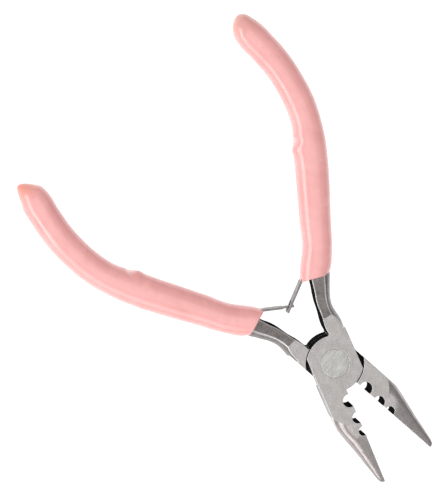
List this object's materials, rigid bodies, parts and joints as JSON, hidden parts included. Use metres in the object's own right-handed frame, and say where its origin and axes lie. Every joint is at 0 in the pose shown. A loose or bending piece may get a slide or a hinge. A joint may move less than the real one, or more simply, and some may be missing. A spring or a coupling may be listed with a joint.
{
  "type": "mini crimping pliers",
  "caption": "Mini needle-nose pliers with crimp notches and fine serrations in the jaws, a flush lap joint, interlocked leaf springs and dipped grips.",
  "frame": {"origin": "on the pivot rivet's axis, at the rear ground face that the tool lies on", "axes": "+Y from the jaws to the handles, +X towards the front half's handle, +Z out of the front face along the rivet"},
  "size_m": [0.0779, 0.1197, 0.0075],
  "materials": {
    "forged_steel": "ground flats, black lap faces and notches",
    "rivet_steel": "ground flush",
    "spring_steel": "bright strip",
    "pvc_grip": "glossy dipped PVC"
  },
  "bodies": {
    "front": {"front_half": "forged_steel", "pivot_rivet": "rivet_steel", "front_grip": "pvc_grip", "front_spring_rivet": "rivet_steel"},
    "rear": {"rear_half": "forged_steel", "rear_grip": "pvc_grip", "rear_spring_rivet": "rivet_steel"},
    "front_leaf": {"front_leaf_spring": "spring_steel"},
    "rear_leaf": {"rear_leaf_spring": "spring_steel"}
  },
  "joints": [
    {"name": "pivot", "type": "hinge", "parent": "front", "child": "rear", "pos_m": [0, 0, 0.00375], "axis": [0, 0, -1], "range_deg": [0, 24.5], "stiffness_Nm_per_rad": 0.4, "springref_deg": -5.73},
    {"name": "front_leaf_flex", "type": "hinge", "parent": "front", "child": "front_leaf", "pos_m": [0.00724, 0.02299, 0.00375], "axis": [0, 0, 1], "range_deg": [0, 29.5], "deforming": ["front_leaf_spring"]},
    {"name": "rear_leaf_flex", "type": "hinge", "parent": "rear", "child": "rear_leaf", "pos_m": [-0.0084, 0.02282, 0.00375], "axis": [0, 0, -1], "range_deg": [0, 29.5], "deforming": ["rear_leaf_spring"]}
  ],
  "couplings": [
    {"joint": "front_leaf_flex", "follows": "pivot", "ratio": 1.18},
    {"joint": "rear_leaf_flex", "follows": "pivot", "ratio": 1.18}
  ]
}
